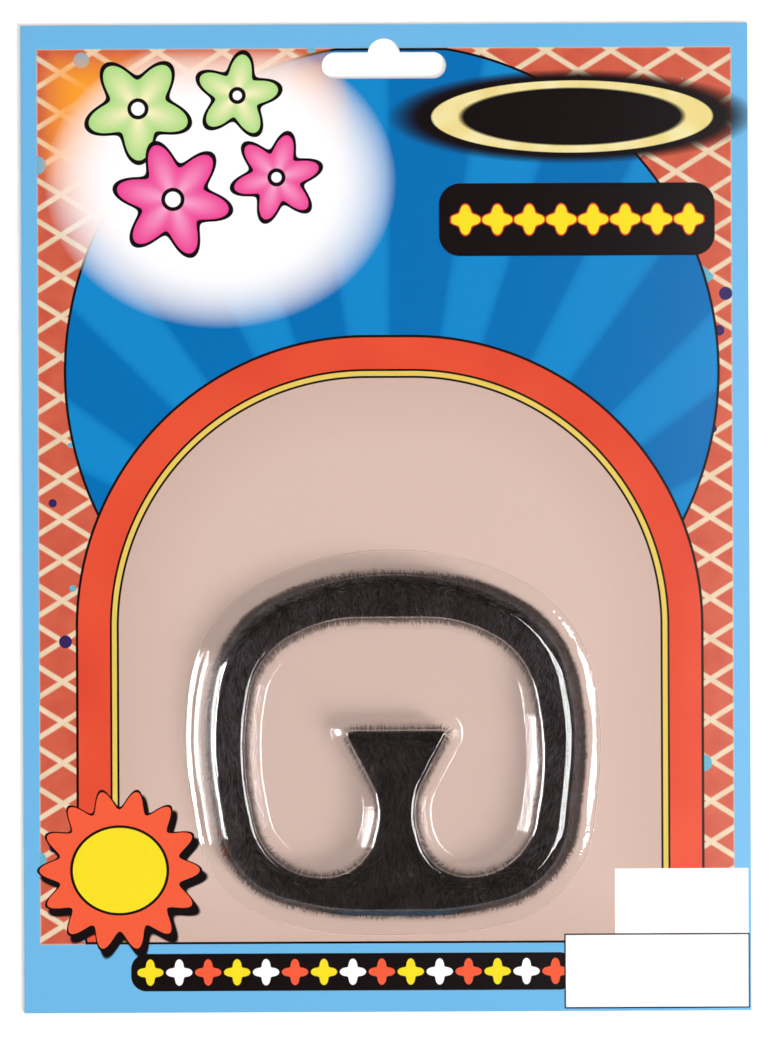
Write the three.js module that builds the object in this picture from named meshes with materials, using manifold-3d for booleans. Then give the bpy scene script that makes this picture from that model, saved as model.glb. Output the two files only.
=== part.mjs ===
// A false moustache and beard of black fur under a clear blister on a backing card.
// Millimetres. The card lies face up: +X to its right, +Y to its top, +Z up from its back.
import * as THREE from 'three';
import Module from 'manifold-3d';

const wasm = await Module();
wasm.setup();

// Backing card
const cardWidth = 168.3;
const cardHeight = 228.6;
const cardThickness = 0.6;

// Hang slot: a wide slot with round ends and a round nub in the middle of its upper side
const slotWidth = 28.8;
const slotHeight = 6.1;
const slotFromTop = 9.5;
const nubWidth = 7.6;
const nubRise = 3.2;

// Hair piece: its outline, its woven backing and the pile above that
const hairWidth = 85.5;
const hairHeight = 78.9;
const hairBackingThickness = 0.9;
const pileHeight = 4.5;
const pileEdgeInset = 2.6;
const lowerOffCentre = 0.8;

// Locks of the pile, combed towards the bottom of the card
const lockLength = 4.8;
const lockWidth = 2.5;
const lockRise = 0.7;
const lockDepth = 1.6;
const lockCrestFromMiddle = 1.2;
const lockPitchAcross = 2.4;
const lockPitchAlong = 2.9;
const lockEdgeClearance = 0.3;

// Blister: its place on the card and its film
const blisterAcross = 1.3;
const blisterFromBottom = 17.9;
const filmThickness = 0.35;

// Blister: clearances round the hair, measured outwards from the line of the hair's edge
const flangeReach = 5.1;
const footReach = 2.55;
const shoulderReach = -1.3;
const holeFootReach = 3.45;
const holeShoulderReach = 0.05;
const headroom = 1.6;
const shoulderRound = 2.2;
const footRound = 1.5;

// The hair lies a little off the blister's centre
const hairOffAcross = 0.3;
const hairOffUp = -0.45;

// Gap kept between pieces that lie on each other
const restGap = 0.1;

// Fineness: the turn of one step along a rounded corner, and the steps across a fillet or a pile edge
const arcStep = THREE.MathUtils.degToRad(8);
const filletSteps = 2;
const pileSteps = 4;
const slotSegments = 10;

// Limits: the tightest rounding, the most of a line that two arcs may take up, and how far a cutting
// solid runs past what it cuts
const sharpestRound = 0.05;
const fullestLine = 0.99;
const cutPast = 1;

// Corners of the hair's outer edge, right half, from the bottom to the top.
// across and up are shares of half the hair's width and height, and round is a share of the shorter
// of the two. Straight lines join the corners, and an arc of that radius rounds each one.
// lower is 1 for a corner of the lower half, which sits a little to the right of the middle.
const outerCorners = [
  { across: 0.327, up: -1.0, round: 1.52, lower: 1 },
  { across: 0.91, up: -0.855, round: 0.54, lower: 1 },
  { across: 1.025, up: 0.061, round: 1.7, lower: 0 },
  { across: 0.915, up: 0.669, round: 0.66, lower: 0 },
  { across: 0.36, up: 1.0, round: 1.45, lower: 0 },
];

// Corners of the opening inside the ring, right half, from the soul patch to the top.
const holeCorners = [
  { across: 0.281, up: 0.072, round: 0.02, lower: 1 },
  { across: 0.067, up: -0.365, round: 0.406, lower: 1 },
  { across: 0.181, up: -0.786, round: 0.292, lower: 1 },
  { across: 0.711, up: -0.786, round: 0.406, lower: 1 },
  { across: 0.836, up: -0.041, round: 1.7, lower: 0 },
  { across: 0.739, up: 0.507, round: 0.48, lower: 0 },
  { across: 0.391, up: 0.74, round: 0.81, lower: 0 },
];

// Levels above the card's back
const seat = cardThickness + restGap;
const hairTop = seat + hairBackingThickness + pileHeight;
const filmTop = seat + filmThickness;
const domeTop = hairTop + lockRise + headroom + filmThickness;

// Places in the plane of the card
const blisterUp = -cardHeight / 2 + blisterFromBottom + flangeReach + hairHeight / 2;
const blisterCentre = new THREE.Vector2(blisterAcross, blisterUp);
const hairCentre = new THREE.Vector2(blisterAcross + hairOffAcross, blisterUp + hairOffUp);

// Outlines

function bothHalves(corners) {
  const half = new THREE.Vector2(hairWidth / 2, hairHeight / 2);
  const place = (corner, side) => ({
    x: side * corner.across * half.x + corner.lower * lowerOffCentre,
    y: corner.up * half.y,
    radius: corner.round * Math.min(half.x, half.y),
  });
  const right = corners.map((corner) => place(corner, 1));
  const left = corners.map((corner) => place(corner, -1)).reverse();
  return withRoundsThatFit(right.concat(left));
}

// Where two arcs would overlap on the line between their corners, both are cut back to meet there.
function withRoundsThatFit(corners) {
  const at = (i) => corners[(i + corners.length) % corners.length];
  const line = (i) => new THREE.Vector2(at(i + 1).x - at(i).x, at(i + 1).y - at(i).y);
  const tangent = (i) => at(i).radius * Math.tan(line(i - 1).angleTo(line(i)) / 2);
  const share = (i) => Math.min(1, (fullestLine * line(i).length()) / (tangent(i) + tangent(i + 1)));
  return corners.map((corner, i) => ({
    ...corner,
    radius: corner.radius * Math.min(share(i - 1), share(i)),
  }));
}

// The rounded outline through the corners, anticlockwise, moved outwards by offset.
function outline(corners, centre, offset) {
  const all = bothHalves(corners);
  const normals = all.map((corner, i) => {
    const next = all[(i + 1) % all.length];
    return new THREE.Vector2(next.y - corner.y, corner.x - next.x).normalize();
  });
  return all.flatMap((corner, i) => {
    const before = normals[(i + all.length - 1) % all.length];
    const after = normals[i];
    const turn = before.cross(after);
    const side = Math.sign(turn);
    const radius = Math.max(sharpestRound, corner.radius + side * offset);
    const reach = (normal) => normal.x * corner.x + normal.y * corner.y + offset - side * radius;
    const middle = new THREE.Vector2(
      (reach(before) * after.y - reach(after) * before.y) / turn,
      (reach(after) * before.x - reach(before) * after.x) / turn,
    ).add(centre);
    const start = Math.atan2(side * before.y, side * before.x);
    const sweep = Math.atan2(turn, before.dot(after));
    const steps = Math.max(2, Math.ceil(Math.abs(sweep) / arcStep));
    return Array.from({ length: steps + 1 }, (_, step) => {
      const angle = start + (sweep * step) / steps;
      return new THREE.Vector2(Math.cos(angle), Math.sin(angle)).multiplyScalar(radius).add(middle);
    });
  });
}

function isInside(point, loop) {
  let inside = false;
  loop.forEach((a, i) => {
    const b = loop[(i + 1) % loop.length];
    const crosses = (a.y > point.y) !== (b.y > point.y);
    if (crosses && point.x < a.x + ((b.x - a.x) * (point.y - a.y)) / (b.y - a.y)) {
      inside = !inside;
    }
  });
  return inside;
}

function distanceTo(point, loop) {
  const nearest = new THREE.Vector3();
  const target = new THREE.Vector3(point.x, point.y, 0);
  const edge = new THREE.Line3();
  return Math.min(...loop.map((a, i) => {
    const b = loop[(i + 1) % loop.length];
    edge.start.set(a.x, a.y, 0);
    edge.end.set(b.x, b.y, 0);
    return edge.closestPointToPoint(target, true, nearest).distanceTo(target);
  }));
}

// Solids

function solid(positions, triangles) {
  return new wasm.Manifold(new wasm.Mesh({
    numProp: 3,
    vertProperties: new Float32Array(positions),
    triVerts: new Uint32Array(triangles),
  }));
}

// A closed solid through outlines of equal point count, each level a loop and its height.
function loft(levels) {
  const count = levels[0].loop.length;
  const positions = levels.flatMap(({ loop, z }) => loop.flatMap((point) => [point.x, point.y, z]));
  const triangles = [];
  for (let level = 0; level < levels.length - 1; level += 1) {
    for (let i = 0; i < count; i += 1) {
      const a = level * count + i;
      const b = level * count + ((i + 1) % count);
      triangles.push(a, b, b + count, a, b + count, a + count);
    }
  }
  const last = (levels.length - 1) * count;
  const cap = (loop) => THREE.ShapeUtils.triangulateShape(loop, []);
  cap(levels[0].loop).forEach(([a, b, c]) => triangles.push(c, b, a));
  cap(levels.at(-1).loop).forEach(([a, b, c]) => triangles.push(last + a, last + b, last + c));
  return solid(positions, triangles);
}

function toGeometry(body) {
  const mesh = body.getMesh();
  const geometry = new THREE.BufferGeometry();
  geometry.setAttribute('position', new THREE.BufferAttribute(mesh.vertProperties, 3));
  geometry.setIndex(new THREE.BufferAttribute(mesh.triVerts, 1));
  geometry.computeVertexNormals();
  return geometry;
}

// Backing card

function cardGeometry() {
  const board = new THREE.Shape();
  board.moveTo(-cardWidth / 2, -cardHeight / 2);
  board.lineTo(cardWidth / 2, -cardHeight / 2);
  board.lineTo(cardWidth / 2, cardHeight / 2);
  board.lineTo(-cardWidth / 2, cardHeight / 2);
  board.closePath();
  board.holes.push(hangSlot());
  return new THREE.ExtrudeGeometry(board, {
    depth: cardThickness,
    bevelEnabled: false,
    curveSegments: slotSegments,
  });
}

function hangSlot() {
  const endRound = slotHeight / 2;
  const endAcross = slotWidth / 2 - endRound;
  const middle = cardHeight / 2 - slotFromTop;
  const upper = middle + endRound;
  const nubRound = nubWidth / 2;
  const nubMiddle = upper + nubRise - nubRound;
  const nubStart = Math.asin(Math.min(1, (upper - nubMiddle) / nubRound));
  const slot = new THREE.Path();
  slot.absarc(endAcross, middle, endRound, -Math.PI / 2, Math.PI / 2, false);
  slot.absarc(0, nubMiddle, nubRound, nubStart, Math.PI - nubStart, false);
  slot.absarc(-endAcross, middle, endRound, Math.PI / 2, (3 * Math.PI) / 2, false);
  slot.closePath();
  return slot;
}

// Blister

// Points of a corner of the section, rounded: each a reach from the hair's edge and a height.
function roundedSectionCorner(before, corner, after, radius) {
  const toBefore = before.clone().sub(corner).normalize();
  const toAfter = after.clone().sub(corner).normalize();
  const half = Math.acos(toBefore.dot(toAfter)) / 2;
  const middle = toBefore.clone().add(toAfter).normalize()
    .multiplyScalar(radius / Math.sin(half)).add(corner);
  const from = toBefore.multiplyScalar(radius / Math.tan(half)).add(corner).sub(middle);
  const to = toAfter.multiplyScalar(radius / Math.tan(half)).add(corner).sub(middle);
  const turn = Math.atan2(from.cross(to), from.dot(to));
  const origin = new THREE.Vector2();
  return Array.from({ length: filletSteps + 1 }, (_, step) => from.clone()
    .rotateAround(origin, (turn * step) / filletSteps).add(middle));
}

// The wall's section from the flange up to the plateau, on the film's upper face at depth 0 and on
// its lower face at the film's thickness.
function wallSection(foot, shoulder, depth) {
  const wall = new THREE.Vector2(shoulder - foot, domeTop - filmTop);
  const slantShift = (depth * wall.length()) / wall.y;
  const onWall = (z) => new THREE.Vector2(foot + (wall.x * (z - filmTop)) / wall.y - slantShift, z);
  const lower = onWall(filmTop - depth);
  const upper = onWall(domeTop - depth);
  const outside = lower.clone().add(new THREE.Vector2(1, 0));
  const inside = upper.clone().add(new THREE.Vector2(-1, 0));
  return [
    ...roundedSectionCorner(outside, lower, upper, footRound + depth),
    ...roundedSectionCorner(lower, upper, inside, shoulderRound - depth),
  ];
}

function outerLevels(section) {
  return section.map(({ x, y }) => ({ loop: outline(outerCorners, blisterCentre, x), z: y }));
}

function holeLevels(section) {
  return section.map(({ x, y }) => ({ loop: outline(holeCorners, blisterCentre, -x), z: y }));
}

function blisterGeometry() {
  const flange = outline(outerCorners, blisterCentre, flangeReach);
  const upperOuter = outerLevels(wallSection(footReach, shoulderReach, 0));
  const upperHole = holeLevels(wallSection(holeFootReach, holeShoulderReach, 0));
  const lowerOuter = outerLevels(wallSection(footReach, shoulderReach, filmThickness));
  const lowerHole = holeLevels(wallSection(holeFootReach, holeShoulderReach, filmThickness));
  const form = loft([{ loop: flange, z: seat }, { loop: flange, z: filmTop }, ...upperOuter]);
  const recess = loft([...upperHole, { loop: upperHole.at(-1).loop, z: domeTop + cutPast }]);
  const hollow = loft([{ loop: lowerOuter[0].loop, z: seat - cutPast }, ...lowerOuter]);
  const island = loft([
    { loop: lowerHole[0].loop, z: seat - cutPast },
    ...lowerHole,
    { loop: lowerHole.at(-1).loop, z: domeTop + cutPast },
  ]);
  return toGeometry(form.subtract(recess).subtract(hollow.subtract(island)));
}

// Hair piece

// How far the pile stands in from the hair's edge at each level, with a rounded shoulder.
function pileLevels() {
  const straight = seat + hairBackingThickness;
  return Array.from({ length: pileSteps + 1 }, (_, step) => {
    const angle = (step / pileSteps) * (Math.PI / 2);
    return { inset: pileEdgeInset * (1 - Math.cos(angle)), z: straight + pileHeight * Math.sin(angle) };
  });
}

// Height of the pile's surface at a distance in from the hair's edge.
function pileSurface(distance) {
  const share = THREE.MathUtils.clamp(1 - distance / pileEdgeInset, 0, 1);
  return seat + hairBackingThickness + pileHeight * Math.sqrt(1 - share * share);
}

// One lock: a long octahedron with a root, two sides, a tip, a crest and a buried keel.
function lock(middle, surfaceAt) {
  const corner = (across, along, rise) => {
    const point = new THREE.Vector2(middle.x + across, middle.y + along);
    return [point.x, point.y, surfaceAt(point) + rise];
  };
  const corners = [
    corner(lockWidth / 2, 0, -lockRise / 2),
    corner(0, lockLength / 2, -lockRise / 2),
    corner(-lockWidth / 2, 0, -lockRise / 2),
    corner(0, -lockLength / 2, 0),
    corner(0, -lockCrestFromMiddle, lockRise),
    corner(0, 0, -lockDepth),
  ];
  const [crest, keel] = [4, 5];
  const faces = [0, 1, 2, 3].flatMap((i) => {
    const next = (i + 1) % 4;
    return [i, next, crest, next, i, keel];
  });
  return solid(corners.flat(), faces);
}

// Staggered rows of points over the ring, each with room for a lock between the hair's two edges.
function lockPlaces(depthIn) {
  const rows = Math.ceil(hairHeight / lockPitchAlong);
  const columns = Math.ceil(hairWidth / lockPitchAcross);
  const places = [];
  for (let row = 0; row <= rows; row += 1) {
    for (let column = 0; column <= columns; column += 1) {
      const stagger = row % 2 ? 0.5 : 0;
      const middle = new THREE.Vector2(
        hairCentre.x + (column - columns / 2 + stagger) * lockPitchAcross,
        hairCentre.y + (row - rows / 2) * lockPitchAlong,
      );
      const ends = [0.5, -0.5].map((along) => middle.clone().setY(middle.y + along * lockLength));
      const roomy = depthIn(middle) > lockWidth / 2 + lockEdgeClearance;
      if (roomy && ends.every((end) => depthIn(end) > lockEdgeClearance)) {
        places.push(middle);
      }
    }
  }
  return places;
}

function hairGeometry() {
  const edge = outline(outerCorners, hairCentre, 0);
  const holeEdge = outline(holeCorners, hairCentre, 0);
  const levels = pileLevels();
  const body = loft([
    { loop: edge, z: seat },
    ...levels.map(({ inset, z }) => ({ loop: outline(outerCorners, hairCentre, -inset), z })),
  ]);
  const hole = loft([
    { loop: holeEdge, z: seat - cutPast },
    ...levels.map(({ inset, z }) => ({ loop: outline(holeCorners, hairCentre, inset), z })),
    { loop: outline(holeCorners, hairCentre, pileEdgeInset), z: hairTop + cutPast },
  ]);
  const depthIn = (point) => {
    const onHair = isInside(point, edge) && !isInside(point, holeEdge);
    return onHair ? Math.min(distanceTo(point, edge), distanceTo(point, holeEdge)) : -1;
  };
  const surfaceAt = (point) => pileSurface(depthIn(point));
  return toGeometry(lockPlaces(depthIn).reduce(
    (hair, middle) => hair.add(lock(middle, surfaceAt)),
    body.subtract(hole),
  ));
}

// Assembly

function piece(name, geometry, look) {
  const mesh = new THREE.Mesh(geometry, new THREE.MeshStandardMaterial(look));
  mesh.name = name;
  return mesh;
}

const cardLook = { color: 0x5d8fb8, roughness: 0.35, metalness: 0 };
const filmLook = { color: 0xf4f8fb, roughness: 0.06, metalness: 0, transparent: true, opacity: 0.25 };
const hairLook = { color: 0x1d191b, roughness: 0.85, metalness: 0 };

const group = new THREE.Group();
group.add(piece('backing_card', cardGeometry(), cardLook));
group.add(piece('blister', blisterGeometry(), filmLook));
group.add(piece('moustache_and_beard', hairGeometry(), hairLook));

export default group;
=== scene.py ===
# %% [markdown]
# A false moustache and beard on its card, dressed for a picture.
# The real object is one ring of black fur, packed under a clear plastic blister on a printed card.
# The solid model gives every size and place, so this lesson first loads it as a fixed frame and
# then adds what a solid model can't show: print, clear film with its ripples, and the fur itself.

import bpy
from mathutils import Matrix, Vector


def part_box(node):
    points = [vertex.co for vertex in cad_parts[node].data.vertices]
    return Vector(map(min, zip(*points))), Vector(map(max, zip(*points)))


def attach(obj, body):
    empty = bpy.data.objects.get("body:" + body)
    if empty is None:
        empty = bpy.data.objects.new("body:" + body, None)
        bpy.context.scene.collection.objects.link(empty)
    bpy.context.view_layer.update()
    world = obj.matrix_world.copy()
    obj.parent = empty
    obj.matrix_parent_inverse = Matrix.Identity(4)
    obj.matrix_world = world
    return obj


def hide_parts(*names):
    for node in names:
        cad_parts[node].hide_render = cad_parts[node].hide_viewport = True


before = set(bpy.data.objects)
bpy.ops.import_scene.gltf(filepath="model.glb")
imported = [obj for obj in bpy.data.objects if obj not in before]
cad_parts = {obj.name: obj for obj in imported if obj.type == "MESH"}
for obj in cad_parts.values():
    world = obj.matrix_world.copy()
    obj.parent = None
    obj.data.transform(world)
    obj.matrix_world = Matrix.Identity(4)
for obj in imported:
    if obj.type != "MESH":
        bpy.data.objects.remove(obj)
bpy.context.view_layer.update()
print("nodes:", sorted(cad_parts))

# %% Modules and units
import math
from functools import partial

import bmesh
import bpy
import numpy as np
from mathutils import Vector, noise

MM = 0.001
SEED = 20
random = np.random.default_rng(SEED)
scene = bpy.context.scene

# %% [markdown]
# The photograph looks straight down on the card, from far enough away that the edges stay parallel.
# A long lens high above the card gives the same flat view. The card in it is turned by a quarter of
# a degree and doesn't sit quite in the middle, so the camera is rolled and moved by as much.

# %% Camera
PICTURE_HEIGHT = 243.2 * MM
CAMERA_HEIGHT = 1.4
SENSOR = 36.0
VIEW_CENTRE = Vector((1.4, -1.6, 0)) * MM
CAMERA_ROLL = math.radians(-0.25)

lens = bpy.data.cameras.new("camera")
lens.sensor_fit = "VERTICAL"
lens.sensor_height = SENSOR
lens.lens = SENSOR * CAMERA_HEIGHT / PICTURE_HEIGHT
camera = bpy.data.objects.new("camera", lens)
camera.location = VIEW_CENTRE + Vector((0, 0, CAMERA_HEIGHT))
camera.rotation_euler = (0, 0, CAMERA_ROLL)
scene.collection.objects.link(camera)
scene.camera = camera
scene.view_settings.view_transform = "Standard"
print("lens in mm:", round(lens.lens, 1))

# %% [markdown]
# Clear plastic shows by what it mirrors. A low light box at the left and a tall one at the right draw
# the long white lines along its rounded edges. A narrow strip at the left stands at the one height
# that the walls of the opening mirror by way of the flat film below them. All three are hidden from
# matt surfaces, so that they can be bright without bleaching the print. A key light from the lower
# right and a wide one overhead light the print and the fur, and they are hidden from glossy rays, so
# that no veil lies over the black fur.
# Light that glass bends onto a matt surface would carry the bright boxes in after all, so caustics
# are off, and a few bounces are enough for a flat card under one thin film. The strip is seen only by
# way of two mirrors, so such light isn't clamped.

# %% Lights


def soft_box(name, size, zenith, azimuth, distance, strength, glossy, diffuse):
    """A rectangle of light that faces the card. Strength is its brightness in watts a steradian."""
    light = bpy.data.lights.new(name, "AREA")
    light.shape = "RECTANGLE"
    light.size, light.size_y = size
    light.energy = strength * math.pi * size[0] * size[1]
    lamp = bpy.data.objects.new(name, light)
    across = math.sin(math.radians(zenith))
    towards = Vector((
        across * math.cos(math.radians(azimuth)),
        across * math.sin(math.radians(azimuth)),
        math.cos(math.radians(zenith)),
    ))
    lamp.location = towards * distance
    lamp.rotation_euler = towards.to_track_quat("Z", "Y").to_euler()
    lamp.visible_camera = False
    lamp.visible_glossy = glossy
    lamp.visible_diffuse = diffuse
    lamp.visible_transmission = False
    scene.collection.objects.link(lamp)


soft_box("left_box", (0.66, 0.56), 73, 183, 1.0, 36, True, False)
soft_box("left_strip", (0.42, 0.10), 47.6, 178, 1.0, 170, True, False)
soft_box("right_box", (0.46, 0.72), 29, -6, 1.0, 34, True, False)
soft_box("key_light", (1.0, 1.0), 60, -38, 3.0, 24.0, False, True)
soft_box("overhead_light", (2.4, 2.4), 0, 0, 2.0, 2.4, False, True)
scene.cycles.caustics_refractive = False
scene.cycles.caustics_reflective = False
scene.cycles.max_bounces = 10
scene.cycles.diffuse_bounces = 1
scene.cycles.sample_clamp_indirect = 0
scene.cycles.glossy_bounces = 4
scene.cycles.transmission_bounces = 8

# %% [markdown]
# Materials are made of nodes. Each helper below adds one node, feeds it and hands back what it gives,
# so that a material reads like a sum.

# %% Helpers for node trees


def connect(tree, value, socket):
    """Feeds a socket with another node's output, or sets its value."""
    if isinstance(value, bpy.types.NodeSocket):
        tree.links.new(value, socket)
    else:
        socket.default_value = value


def add_node(tree, kind, values=(), **settings):
    """A new node with its settings, and its first inputs fed in order."""
    made = tree.nodes.new(kind)
    for setting, value in settings.items():
        setattr(made, setting, value)
    for socket, value in zip(made.inputs, values):
        connect(tree, value, socket)
    return made


def calculate(tree, operation, *values):
    return add_node(tree, "ShaderNodeMath", values, operation=operation).outputs[0]


def map_range(tree, value, low, high, to_low=0.0, to_high=1.0):
    return add_node(tree, "ShaderNodeMapRange", [value, low, high, to_low, to_high]).outputs[0]


def noise_pattern(tree, place, scale, detail=2.0):
    made = add_node(tree, "ShaderNodeTexNoise", [place])
    made.inputs["Scale"].default_value = scale
    made.inputs["Detail"].default_value = detail
    return made.outputs["Fac"]


def bump(tree, height, strength, distance):
    """A surface normal tilted by a pattern of heights."""
    made = add_node(tree, "ShaderNodeBump")
    made.inputs["Strength"].default_value = strength
    made.inputs["Distance"].default_value = distance
    connect(tree, height, made.inputs["Height"])
    return made.outputs["Normal"]


def colour_ramp(tree, share, stops):
    """Colours along a ramp. A stop is a position and a colour."""
    made = add_node(tree, "ShaderNodeValToRGB", [share])
    ends = made.color_ramp.elements
    ends[0].position, ends[0].color = stops[0]
    ends[1].position, ends[1].color = stops[-1]
    for position, colour in stops[1:-1]:
        ends.new(position).color = colour
    return made.outputs["Color"]


def new_material(name, roughness, specular=0.5):
    """A new material, its node tree and its Principled shader."""
    made = bpy.data.materials.new(name)
    made.use_nodes = True
    shader = made.node_tree.nodes["Principled BSDF"]
    shader.inputs["Roughness"].default_value = roughness
    shader.inputs["Specular IOR Level"].default_value = specular
    return made, made.node_tree, shader


# %% Sky and floor
SKY_OVERHEAD = 0.03
SKY_HORIZON = 0.55
HORIZON_UP_TO, OVERHEAD_FROM = 0.25, 0.6
FLOOR_SIDE = 12.0
FLOOR_DROP = 0.02 * MM

world = bpy.data.worlds.new("studio")
scene.world = world
world.use_nodes = True
sky = world.node_tree
direction = add_node(sky, "ShaderNodeTexCoord").outputs["Generated"]
height = add_node(sky, "ShaderNodeSeparateXYZ", [direction]).outputs["Z"]
brightness = map_range(sky, height, HORIZON_UP_TO, OVERHEAD_FROM, SKY_HORIZON, SKY_OVERHEAD)
connect(sky, brightness, sky.nodes["Background"].inputs["Strength"])

bpy.ops.object.select_all(action="DESELECT")
bpy.ops.mesh.primitive_plane_add(size=FLOOR_SIDE, location=(0, 0, -FLOOR_DROP))
floor = bpy.context.object
floor.name = "floor"
floor_material, _, floor_shader = new_material("pale_floor", 0.9, 0.0)
floor_shader.inputs["Base Color"].default_value = (0.98, 0.98, 0.98, 1)
floor.data.materials.append(floor_material)

# %% [markdown]
# The fur and the blister follow one outline: a ring with a gently arched top, a square chin and a
# soul patch that stands up into the opening. It is given by a few corners, each rounded by an arc,
# and any line at a fixed distance from it comes from the same corners with longer or shorter arcs.
# The corners are shares of half the hair's width and height, as in the solid model: across, up,
# the arc's radius as a share of the shorter half, and 1 for a corner of the lower half, which sits
# a little to the right of the middle. They are the right half's, from the bottom up.

# %% Corners of the outline
HAIR_WIDTH = 85.5 * MM
HAIR_HEIGHT = 78.9 * MM
LOWER_OFF_CENTRE = 0.8 * MM
SHARPEST = 0.05 * MM
FULLEST_LINE = 0.99

OUTER_CORNERS = [
    (0.327, -1.0, 1.52, 1),
    (0.91, -0.855, 0.54, 1),
    (1.025, 0.061, 1.7, 0),
    (0.915, 0.669, 0.66, 0),
    (0.36, 1.0, 1.45, 0),
]
HOLE_CORNERS = [
    (0.281, 0.072, 0.02, 1),
    (0.067, -0.365, 0.406, 1),
    (0.181, -0.786, 0.292, 1),
    (0.711, -0.786, 0.406, 1),
    (0.836, -0.041, 1.7, 0),
    (0.739, 0.507, 0.48, 0),
    (0.391, 0.74, 0.81, 0),
]


def both_halves(corners):
    """The whole outline's corners, anticlockwise: an array of places and one of radii."""
    half = np.array([HAIR_WIDTH, HAIR_HEIGHT]) / 2
    places, radii = [], []
    for side, rows in ((1, corners), (-1, corners[::-1])):
        for across, up, rounding, lower in rows:
            places.append([side * across * half[0] + lower * LOWER_OFF_CENTRE, up * half[1]])
            radii.append(rounding * half.min())
    return np.array(places), rounds_that_fit(np.array(places), np.array(radii))


def rounds_that_fit(places, radii):
    """Cuts two arcs back to meet where they would overlap on the line between their corners."""
    lines = np.roll(places, -1, axis=0) - places
    lengths = np.linalg.norm(lines, axis=1)
    before = np.roll(lines, 1, axis=0)
    cosine = (before * lines).sum(axis=1) / (lengths * np.roll(lengths, 1))
    tangents = radii * np.tan(np.arccos(np.clip(cosine, -1, 1)) / 2)
    share = np.minimum(1, FULLEST_LINE * lengths / (tangents + np.roll(tangents, -1)))
    return radii * np.minimum(share, np.roll(share, 1))


def arcs(corners, offset, arc_step):
    """One arc for each corner of the outline moved outwards by offset, round the middle (0, 0)."""
    places, radii = both_halves(corners)
    lines = np.roll(places, -1, axis=0) - places
    normals = np.stack([lines[:, 1], -lines[:, 0]], axis=1)
    normals /= np.linalg.norm(normals, axis=1)[:, None]
    found = []
    for i, place in enumerate(places):
        before, after = normals[i - 1], normals[i]
        turn = before[0] * after[1] - before[1] * after[0]
        side = math.copysign(1, turn)
        radius = max(SHARPEST, radii[i] + side * offset)
        reaches = np.array([before @ place, after @ place]) + offset - side * radius
        middle = np.linalg.solve(np.array([before, after]), reaches)
        start = math.atan2(side * before[1], side * before[0])
        sweep = math.atan2(turn, before @ after)
        steps = max(2, math.ceil(abs(sweep) / arc_step))
        angles = start + sweep * np.linspace(0, 1, steps + 1)
        found.append(middle + radius * np.stack([np.cos(angles), np.sin(angles)], axis=1))
    return found


def outline(corners, offset, arc_step, line_step):
    """The outline moved outwards by offset, with as many points at every offset."""
    plain = arcs(corners, 0, arc_step)
    moved = arcs(corners, offset, arc_step)
    points = []
    for i, arc in enumerate(moved):
        following = (i + 1) % len(moved)
        gap = np.linalg.norm(plain[following][0] - plain[i][-1])
        shares = np.linspace(0, 1, int(gap / line_step) + 2)[1:-1, None]
        points.append(arc)
        points.append(arc[-1] + shares * (moved[following][0] - arc[-1]))
    return np.concatenate(points)


def centre_in(box, reach):
    """The middle of the outline whose outer edge, moved outwards by reach, fills a node's box."""
    points = outline(OUTER_CORNERS, reach, math.radians(3), MM)
    low, high = box
    middle = (points.min(axis=0) + points.max(axis=0)) / 2
    return np.array([(low.x + high.x) / 2, (low.y + high.y) / 2]) - middle


hair_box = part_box("moustache_and_beard")
blister_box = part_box("blister")
card_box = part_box("backing_card")
FLANGE_REACH = 5.1 * MM
hair_centre = centre_in(hair_box, 0)
blister_centre = centre_in(blister_box, FLANGE_REACH)
print("hair's middle in mm:", (hair_centre / MM).round(2))
print("blister's middle in mm:", (blister_centre / MM).round(2))

# %% [markdown]
# Both the pile of the fur and the blister are built as a modeller would by hand: a circle is moved
# onto the outline, its edge is extruded level by level, and the flat parts are filled. The helpers
# below do one such step each. A level is a closed row of points, as many in each.

# %% Helpers for extruded outlines


def start_mesh(name, level):
    """A new mesh in edit mode that holds one closed edge along the level's points."""
    bpy.ops.object.select_all(action="DESELECT")
    bpy.ops.mesh.primitive_circle_add(vertices=len(level), radius=HAIR_WIDTH / 2)
    made = bpy.context.object
    made.name = name
    made.data.name = name
    bpy.ops.object.mode_set(mode="EDIT")
    return made, move_newest(made, level)


def move_newest(made, level):
    """Moves the newest vertices onto the level's points and returns their numbers."""
    mesh = bmesh.from_edit_mesh(made.data)
    mesh.verts.ensure_lookup_table()
    newest = mesh.verts[-len(level):]
    for vertex, point in zip(newest, level):
        vertex.co = point
    bmesh.update_edit_mesh(made.data)
    return [vertex.index for vertex in newest]


def extrude_to(made, numbers, level):
    """Extrudes the selected edge, whose vertices have these numbers, onto the level's points."""
    bpy.ops.mesh.extrude_edges_indiv()
    mesh = bmesh.from_edit_mesh(made.data)
    mesh.verts.ensure_lookup_table()
    mesh.verts.index_update()
    row = {number: k for k, number in enumerate(numbers)}
    fresh = [0] * len(numbers)
    for vertex in mesh.verts[-len(numbers):]:
        old = next(edge.other_vert(vertex).index for edge in vertex.link_edges
                   if edge.other_vert(vertex).index in row)
        vertex.co = level[row[old]]
        fresh[row[old]] = vertex.index
    bmesh.update_edit_mesh(made.data)
    return fresh


def add_loop(made, level):
    """Adds one more closed edge to the mesh, selected alone, along the level's points."""
    bpy.ops.mesh.select_all(action="DESELECT")
    bpy.ops.mesh.primitive_circle_add(vertices=len(level), radius=HAIR_WIDTH / 2)
    return move_newest(made, level)


def fill_between(made, *loops):
    """Fills the flat face inside one closed edge, or the ring between two."""
    bpy.ops.mesh.select_all(action="DESELECT")
    mesh = bmesh.from_edit_mesh(made.data)
    mesh.verts.ensure_lookup_table()
    for number in (number for loop in loops for number in loop):
        mesh.verts[number].select = True
    mesh.select_flush(True)
    bmesh.update_edit_mesh(made.data)
    bpy.ops.mesh.fill(use_beauty=True)


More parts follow.
